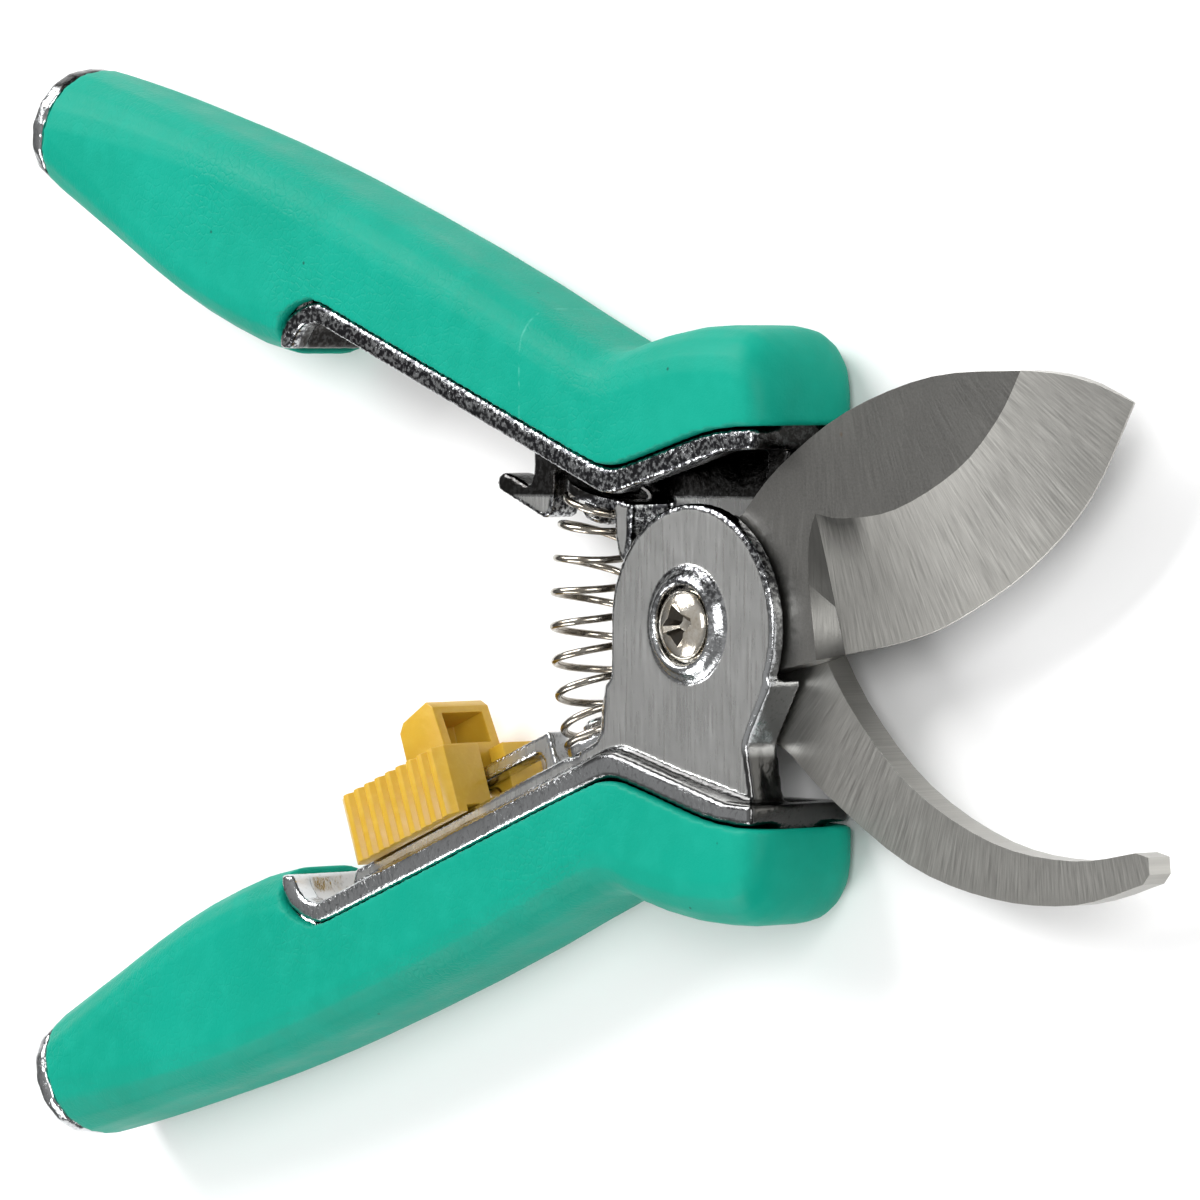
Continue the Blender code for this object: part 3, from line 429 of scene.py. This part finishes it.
def lock_plastic():
    """Warm yellow moulding, slightly waxy, with lighter worn streaks."""
    material, tree, shader = new_material("lock_plastic_look")
    plain = coordinates(tree)
    cloud = noise(tree, plain, 5.0, 3.0)
    flow = noise(tree, coordinates(tree, (0.25, 1.0, 1.0), 20.8), 0.8, 4.0, 0.6)
    base = blend_colour(tree, spread(tree, cloud, 0.35, 0.65), (0.52, 0.310, 0.020), (0.56, 0.345, 0.028))
    worn = blend_colour(tree, spread(tree, flow, 0.5, 0.75, 0.0, 0.4), base, (0.62, 0.41, 0.055))
    tree.links.new(worn, shader.inputs["Base Color"])
    tree.links.new(spread(tree, flow, 0.3, 0.7, 0.30, 0.42), shader.inputs["Roughness"])
    tree.links.new(bump(tree, noise(tree, plain, 0.9, 4.0, 0.55), 0.03), shader.inputs["Normal"])
    shader.inputs["Subsurface Weight"].default_value = 0.15
    shader.inputs["Subsurface Radius"].default_value = (2.0 * MM, 1.0 * MM, 0.3 * MM)
    shader.inputs["Subsurface Scale"].default_value = 1.0
    return material


def floor_paper():
    """Plain pale sheet."""
    material, tree, shader = new_material("floor_paper")
    shader.inputs["Base Color"].default_value = (0.93, 0.93, 0.93, 1.0)
    shader.inputs["Roughness"].default_value = 0.9
    return material


# ------------------------------------------------------------------ frame pieces

def dress(node, material):
    """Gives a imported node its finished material."""
    node.data.materials.clear()
    node.data.materials.append(material)


def weld(node):
    step = node.modifiers.new("weld", "WELD")
    step.merge_threshold = WELD_REACH * MM


def smooth_by_angle(node, angle_deg=30.0):
    """Shades the node smooth, except at edges that bend by more than the angle."""
    group = bpy.data.node_groups.get("smooth_shade") or smooth_group()
    step = node.modifiers.new("smooth_shade", "NODES")
    step.node_group = group
    step["Socket_2"] = math.radians(angle_deg)


def smooth_group():
    """Geometry nodes that smooth all faces, and keep edges crisp where they bend past an angle."""
    group = bpy.data.node_groups.new("smooth_shade", "GeometryNodeTree")
    group.interface.new_socket("Geometry", in_out="INPUT", socket_type="NodeSocketGeometry")
    group.interface.new_socket("Geometry", in_out="OUTPUT", socket_type="NodeSocketGeometry")
    group.interface.new_socket("Angle", in_out="INPUT", socket_type="NodeSocketFloat")
    entry = group.nodes.new("NodeGroupInput")
    leave = group.nodes.new("NodeGroupOutput")
    bend = group.nodes.new("GeometryNodeInputMeshEdgeAngle")
    gentle = group.nodes.new("FunctionNodeCompare")
    gentle.operation = "LESS_EQUAL"
    edges = group.nodes.new("GeometryNodeSetShadeSmooth")
    edges.domain = "EDGE"
    faces = group.nodes.new("GeometryNodeSetShadeSmooth")
    group.links.new(bend.outputs["Unsigned Angle"], gentle.inputs[0])
    group.links.new(entry.outputs["Angle"], gentle.inputs[1])
    group.links.new(entry.outputs["Geometry"], faces.inputs["Geometry"])
    group.links.new(faces.outputs["Geometry"], edges.inputs["Geometry"])
    either = group.nodes.new("FunctionNodeBooleanMath")
    either.operation = "OR"
    group.links.new(gentle.outputs["Result"], either.inputs[0])
    group.links.new(heel_edges(group), either.inputs[1])
    group.links.new(either.outputs[0], edges.inputs["Shade Smooth"])
    group.links.new(edges.outputs["Geometry"], leave.inputs["Geometry"])
    return group


def heel_edges(group):
    """True on the edges that run across the bevel's heel, which is one smooth hollow."""
    spot = group.nodes.new("GeometryNodeInputPosition")
    parts = group.nodes.new("ShaderNodeSeparateXYZ")
    group.links.new(spot.outputs[0], parts.inputs[0])
    lean = math_node(group, "MULTIPLY", parts.outputs["Y"], HEEL_LEAN)
    across = math_node(group, "ADD", parts.outputs["X"], lean)
    past_line = math_node(group, "SUBTRACT", across, PIVOT.x + HEEL_LINE_X * MM)
    off_line = math_node(group, "ABSOLUTE", past_line)
    near = math_node(group, "LESS_THAN", off_line, HEEL_BAND * MM)
    high = math_node(group, "GREATER_THAN", parts.outputs["Z"], PIVOT.z + HEEL_LOW_Z * MM)
    below = math_node(group, "LESS_THAN", parts.outputs["Y"], HEEL_TOP_Y * MM)
    above = math_node(group, "GREATER_THAN", parts.outputs["Y"], HEEL_FOOT_Y * MM)
    return product(group, near, high, below, above)


def soften(node, radius_mm, segments=2, angle_deg=32.0, smooth_deg=30.0):
    """Small round on every real corner."""
    weld(node)
    step = node.modifiers.new("round", "BEVEL")
    step.width = radius_mm * MM
    step.segments = segments
    step.limit_method = "ANGLE"
    step.angle_limit = math.radians(angle_deg)
    step.use_clamp_overlap = True
    smooth_by_angle(node, smooth_deg)


def cast_skin(node, voxel_mm, passes):
    """Rounds a casting or moulding all over, as its mould leaves it."""
    weld(node)
    skin = node.modifiers.new("skin", "REMESH")
    skin.mode = "VOXEL"
    skin.voxel_size = voxel_mm * MM
    skin.use_smooth_shade = True
    relax = node.modifiers.new("relax", "SMOOTH")
    relax.factor = 0.5
    relax.iterations = passes


# ------------------------------------------------------------------ spring

def spring_arc():
    """Radius and half sweep of the arc that the coil's axis follows."""
    sag = SPRING_END_X - SPRING_MID_X
    radius = (SPRING_END_Y ** 2 + sag ** 2) / (2 * sag)
    return radius, math.asin(SPRING_END_Y / radius)


def coil_advance(turn):
    """Share of the axis covered at a turn, with the end turns closed up."""
    open_turns = COIL_TURNS - 2 * CLOSED_TURNS
    if turn < CLOSED_TURNS:
        return CLOSED_SHARE * turn / CLOSED_TURNS
    if turn > COIL_TURNS - CLOSED_TURNS:
        return 1.0 - CLOSED_SHARE * (COIL_TURNS - turn) / CLOSED_TURNS
    return CLOSED_SHARE + (1 - 2 * CLOSED_SHARE) * (turn - CLOSED_TURNS) / open_turns


def spring_point(turn):
    radius, tilt = spring_arc()
    sweep = tilt - 1.1 * WIRE_R / radius
    along = -sweep + 2 * sweep * coil_advance(turn)
    outward = Vector((-math.cos(along), math.sin(along), 0.0))
    base = Vector((SPRING_MID_X + radius, 0.0, 0.0)) + outward * radius
    angle = 2 * math.pi * turn
    return PIVOT + base + (outward * math.cos(angle) + Vector((0, 0, 1)) * math.sin(angle)) * COIL_R


def make_spring(material):
    """Wire wound with closed ends about the bowed axis."""
    count = int(COIL_TURNS * COIL_STEPS)
    vertices = []
    for i in range(count + 1):
        here = spring_point(i / COIL_STEPS)
        ahead = (spring_point((i + 0.5) / COIL_STEPS) - spring_point((i - 0.5) / COIL_STEPS)).normalized()
        side = ahead.cross(Vector((0.0, 1.0, 0.0))).normalized()
        rise = side.cross(ahead)
        for k in range(WIRE_SIDES):
            angle = 2 * math.pi * k / WIRE_SIDES
            vertices.append(here + (side * math.cos(angle) + rise * math.sin(angle)) * WIRE_R)
    faces = [tuple(reversed(range(WIRE_SIDES)))]
    for i in range(count):
        for k in range(WIRE_SIDES):
            m = (k + 1) % WIRE_SIDES
            low = i * WIRE_SIDES
            high = low + WIRE_SIDES
            faces.append((low + k, low + m, high + m, high + k))
    last = count * WIRE_SIDES
    faces.append(tuple(range(last, last + WIRE_SIDES)))
    mesh = bpy.data.meshes.new("coil_spring")
    mesh.from_pydata(vertices, [], faces)
    mesh.shade_smooth()
    spring = bpy.data.objects.new("coil_spring", mesh)
    bpy.context.scene.collection.objects.link(spring)
    mesh.materials.append(material)
    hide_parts("return_spring")
    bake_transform(spring)


# ------------------------------------------------------------------ screw

def turned_mesh(name, profile, sides):
    """Solid of revolution about the pivot axis; profile is (radius, height) in millimetres."""
    vertices = []
    for radius, height in profile:
        for k in range(sides):
            angle = 2 * math.pi * k / sides
            spot = Vector((radius * math.cos(angle), radius * math.sin(angle), height)) * MM
            vertices.append(PIVOT + spot)
    faces = [tuple(reversed(range(sides)))]
    for i in range(len(profile) - 1):
        for k in range(sides):
            m = (k + 1) % sides
            low = i * sides
            faces.append((low + k, low + m, low + sides + m, low + sides + k))
    last = (len(profile) - 1) * sides
    faces.append(tuple(range(last, last + sides)))
    mesh = bpy.data.meshes.new(name)
    mesh.from_pydata(vertices, [], faces)
    item = bpy.data.objects.new(name, mesh)
    bpy.context.scene.collection.objects.link(item)
    return item


def cross_cutter(top, bottom):
    """Tapered cross, between two heights in millimetres, that makes the driver recess."""
    side = RECESS_WIDTH * RECESS_ARM
    corner = RECESS_WIDTH * RECESS_CORNER
    outline = []
    for quarter in range(4):
        base = math.radians(90 * quarter + RECESS_TURN)
        for along, across in ((RECESS_HALF, -side), (RECESS_HALF, side), (corner, corner)):
            outline.append((along * math.cos(base) - across * math.sin(base),
                            along * math.sin(base) + across * math.cos(base)))
    vertices = []
    for height, share in ((bottom, RECESS_TAPER), (top, 1.0)):
        for x, y in outline:
            vertices.append(PIVOT + Vector((x * share, y * share, height)) * MM)
    count = len(outline)
    faces = [tuple(reversed(range(count))), tuple(range(count, 2 * count))]
    for k in range(count):
        m = (k + 1) % count
        faces.append((k, m, count + m, count + k))
    mesh = bpy.data.meshes.new("recess_cutter")
    mesh.from_pydata(vertices, [], faces)
    cutter = bpy.data.objects.new("recess_cutter", mesh)
    bpy.context.scene.collection.objects.link(cutter)
    return cutter


def make_screw(material):
    """Pan head on its shank, with a pressed cross recess and a rounded rim."""
    low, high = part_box("pivot_screw")
    radius = (high[0] - low[0]) / 2 / MM
    foot = (low[2] - PIVOT.z) / MM
    crown = (high[2] - PIVOT.z) / MM
    seat = crown - SCREW_DOME
    shoulder = seat + SCREW_RIM
    profile = [(SCREW_SHANK_R - SHANK_CHAMFER, foot), (SCREW_SHANK_R, foot + SHANK_CHAMFER),
               (SCREW_SHANK_R, seat), (radius - 0.25, seat), (radius, seat + 0.2), (radius, shoulder)]
    for i in range(1, DOME_STEPS + 1):
        angle = math.pi / 2 * i / DOME_STEPS
        height = shoulder + (SCREW_DOME - SCREW_RIM) * math.sin(angle)
        profile.append((max(radius * math.cos(angle), 0.15), height))
    screw = turned_mesh("cross_head_screw", profile, SCREW_SIDES)
    cutter = cross_cutter(crown + 0.2, crown - RECESS_DEPTH)
    step = screw.modifiers.new("recess", "BOOLEAN")
    step.object = cutter
    step.solver = "EXACT"
    bpy.context.view_layer.update()
    graph = bpy.context.evaluated_depsgraph_get()
    shaped = bpy.data.meshes.new_from_object(screw.evaluated_get(graph))
    screw.modifiers.clear()
    screw.data = shaped
    bpy.data.objects.remove(cutter)
    soften(screw, 0.05, 2, 28.0, 28.0)
    shaped.materials.clear()
    shaped.materials.append(material)
    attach(screw, "lower_body")
    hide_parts("pivot_screw")


# ------------------------------------------------------------------ stage

def make_floor():
    mesh = bpy.data.meshes.new("floor")
    corners = [(FLOOR_REACH * x, FLOOR_REACH * y, FLOOR_Z) for x, y in ((-1, -1), (1, -1), (1, 1), (-1, 1))]
    mesh.from_pydata(corners, [], [(0, 1, 2, 3)])
    floor = bpy.data.objects.new("floor", mesh)
    bpy.context.scene.collection.objects.link(floor)
    mesh.materials.append(floor_paper())


def make_light(name, place, size, power):
    """Soft oblong lamp that faces the tool."""
    lamp = bpy.data.lights.new(name, "AREA")
    lamp.shape = "RECTANGLE"
    lamp.size = size[0]
    lamp.size_y = size[1]
    lamp.energy = power
    holder = bpy.data.objects.new(name, lamp)
    holder.location = place
    holder.rotation_euler = (-Vector(place)).to_track_quat("-Z", "Y").to_euler()
    bpy.context.scene.collection.objects.link(holder)


def make_world():
    """Even pale surroundings, darker low down, as in a light tent."""
    world = bpy.data.worlds.new("studio")
    world.use_nodes = True
    tree = world.node_tree
    back = tree.nodes["Background"]
    source = tree.nodes.new("ShaderNodeTexCoord")
    parts = tree.nodes.new("ShaderNodeSeparateXYZ")
    tree.links.new(source.outputs["Generated"], parts.inputs[0])
    rise = spread(tree, parts.outputs["Z"], 0.05, 0.95, 0.06, 0.42)
    path = tree.nodes.new("ShaderNodeLightPath")
    level = tree.nodes.new("ShaderNodeMix")
    tree.links.new(path.outputs["Is Camera Ray"], level.inputs["Factor"])
    tree.links.new(rise, level.inputs["A"])
    level.inputs["B"].default_value = BACKDROP_LEVEL
    tree.links.new(level.outputs["Result"], back.inputs["Strength"])
    back.inputs["Color"].default_value = (1.0, 1.0, 1.0, 1.0)
    bpy.context.scene.world = world


def make_camera():
    data = bpy.data.cameras.new("camera")
    data.lens = CAMERA_LENS
    data.sensor_width = SENSOR
    holder = bpy.data.objects.new("camera", data)
    holder.location = PIVOT + CAMERA_OFFSET
    holder.rotation_euler = Euler([math.radians(a) for a in CAMERA_TURN], "XYZ")
    bpy.context.scene.collection.objects.link(holder)
    bpy.context.scene.camera = holder


# ------------------------------------------------------------------ build

def dress_frame():
    nodes = frame["nodes"]
    shiny = chrome()
    green = grip_vinyl()
    warm = nickel("nickel_look", (0.80, 0.76, 0.68), (0.56, 0.49, 0.38))
    wire = nickel("spring_wire_look", (0.46, 0.43, 0.38), (0.26, 0.22, 0.17))
    head = nickel("screw_look", (0.92, 0.87, 0.78), (0.62, 0.54, 0.42), recessed=True)
    yellow = lock_plastic()
    for name in ("lower_handle_casting", "upper_handle_casting"):
        cast_skin(nodes[name], CASTING_SKIN, SKIN_PASSES)
        dress(nodes[name], shiny)
    for name in ("lower_grip", "upper_grip"):
        cast_skin(nodes[name], GRIP_SKIN, SKIN_PASSES)
        dress(nodes[name], green)
    for name in ("lower_spring_seat", "upper_spring_seat"):
        soften(nodes[name], SEAT_ROUND)
        dress(nodes[name], shiny)
    blades = (("cutting_blade", BEVEL_CENTRE, True), ("counter_blade", HOOK_CENTRE, False))
    for name, centre, bevelled in blades:
        soften(nodes[name], BLADE_ROUND, 2, 35.0, BLADE_SMOOTH)
        dress(nodes[name], blade_steel(name + "_look", centre, bevelled))
    for name in ("lock_slider_front", "lock_slider_back"):
        soften(nodes[name], LOCK_ROUND, 3, 25.0)
        dress(nodes[name], yellow)
    for name in ("pivot_nut", "screw_washer", "nut_washer", "pivot_sleeve",
                 "blade_key_pin", "counter_blade_key_pin", "lock_pin_front", "lock_pin_rear"):
        soften(nodes[name], FASTENER_ROUND)
        dress(nodes[name], warm)
    soften(nodes["friction_washer"], WASHER_ROUND)
    dress(nodes["friction_washer"], bronze())
    make_spring(wire)
    make_screw(head)


def build():
    bpy.context.scene.view_settings.view_transform = "Standard"
    dress_frame()
    make_floor()
    make_world()
    for name, place, size, power in LAMPS:
        make_light(name, place, size, power)
    make_camera()


build()
